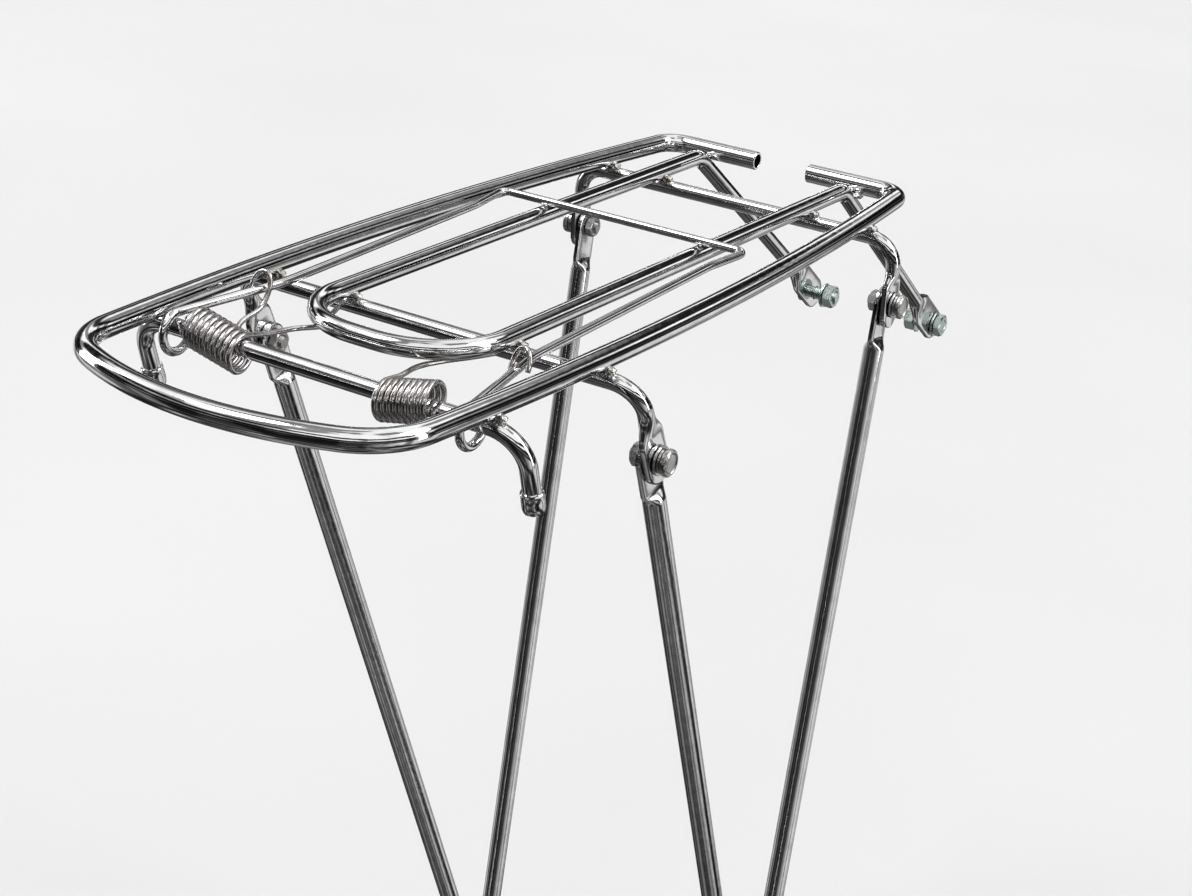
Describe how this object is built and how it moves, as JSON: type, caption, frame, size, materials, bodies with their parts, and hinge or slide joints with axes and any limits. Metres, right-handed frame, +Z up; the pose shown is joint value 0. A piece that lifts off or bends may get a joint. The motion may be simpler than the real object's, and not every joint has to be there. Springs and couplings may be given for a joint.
{
  "type": "rear rack",
  "caption": "Rear bicycle rack of bent chromed rod: racket-shaped rail, hairpin inner rail with front struts, sprung load clip, strap hooks and flat-ended stays to the dropouts.",
  "frame": {"origin": "middle of the rack's base: halfway between the left and right sides and between the front and rear ends, at the height of the feet", "axes": "+X to the rider's right, +Y in the direction of travel, +Z up; the deck lies level"},
  "size_m": [0.182, 0.5182, 0.4244],
  "materials": {
    "chrome_rod": "bright chrome on bent steel rod, small ripples, golden heat tint at the welds",
    "chrome_stay": "chrome drawn over a rougher tube, fine lines along it",
    "spring_wire": "bright plated spring wire",
    "plated_fastener": "chrome plate, slightly dull on the faces",
    "zinc_fastener": "bright zinc with a pale blue-green passivation"
  },
  "bodies": {
    "deck": {"frame_bolt_left": "zinc_fastener", "frame_bolt_right": "zinc_fastener", "frame_nut_left": "zinc_fastener", "frame_nut_right": "zinc_fastener", "frame_washer_inner_left": "zinc_fastener", "frame_washer_inner_right": "zinc_fastener", "frame_washer_outer_left": "zinc_fastener", "frame_washer_outer_right": "zinc_fastener", "front_bracket": "chrome_rod", "hook_cap_left": "chrome_rod", "hook_cap_right": "chrome_rod", "inner_rail": "chrome_rod", "leg_bolt_front_left": "plated_fastener", "leg_bolt_front_right": "plated_fastener", "leg_bolt_rear_left": "plated_fastener", "leg_bolt_rear_right": "plated_fastener", "leg_lock_washer_front_left": "plated_fastener", "leg_lock_washer_front_right": "plated_fastener", "leg_lock_washer_rear_left": "plated_fastener", "leg_lock_washer_rear_right": "plated_fastener", "leg_nut_front_left": "plated_fastener", "leg_nut_front_right": "plated_fastener", "leg_nut_rear_left": "plated_fastener", "leg_nut_rear_right": "plated_fastener", "leg_washer_front_left": "plated_fastener", "leg_washer_front_right": "plated_fastener", "leg_washer_rear_left": "plated_fastener", "leg_washer_rear_right": "plated_fastener", "outer_rail": "chrome_rod", "rear_bracket": "chrome_rod", "rear_crossbar": "chrome_rod", "spring_left": "spring_wire", "spring_right": "spring_wire"},
    "clip": {"bail": "chrome_rod"},
    "rear_stay_right_body": {"rear_stay_right": "chrome_stay"},
    "front_stay_right_body": {"front_stay_right": "chrome_stay"},
    "rear_stay_left_body": {"rear_stay_left": "chrome_stay"},
    "front_stay_left_body": {"front_stay_left": "chrome_stay"}
  },
  "joints": [
    {"name": "clip_hinge", "type": "hinge", "parent": "deck", "child": "clip", "pos_m": [0, -0.18919, 0.41005], "axis": [1, 0, 0], "range_deg": [0, 100], "stiffness_Nm_per_rad": 1.2, "springref_deg": -68.75, "deforming": ["spring_right", "spring_left"]},
    {"name": "rear_stay_right_pivot", "type": "hinge", "parent": "deck", "child": "rear_stay_right_body", "pos_m": [0.0845, -0.11319, 0.38095], "axis": [1, 0, 0], "range_deg": [-35, 0]},
    {"name": "front_stay_right_pivot", "type": "hinge", "parent": "deck", "child": "front_stay_right_body", "pos_m": [0.075, 0.09331, 0.38345], "axis": [1, 0, 0], "range_deg": [0, 45]},
    {"name": "rear_stay_left_pivot", "type": "hinge", "parent": "deck", "child": "rear_stay_left_body", "pos_m": [-0.0845, -0.11319, 0.38095], "axis": [1, 0, 0], "range_deg": [-35, 0]},
    {"name": "front_stay_left_pivot", "type": "hinge", "parent": "deck", "child": "front_stay_left_body", "pos_m": [-0.075, 0.09331, 0.38345], "axis": [1, 0, 0], "range_deg": [0, 45]}
  ]
}
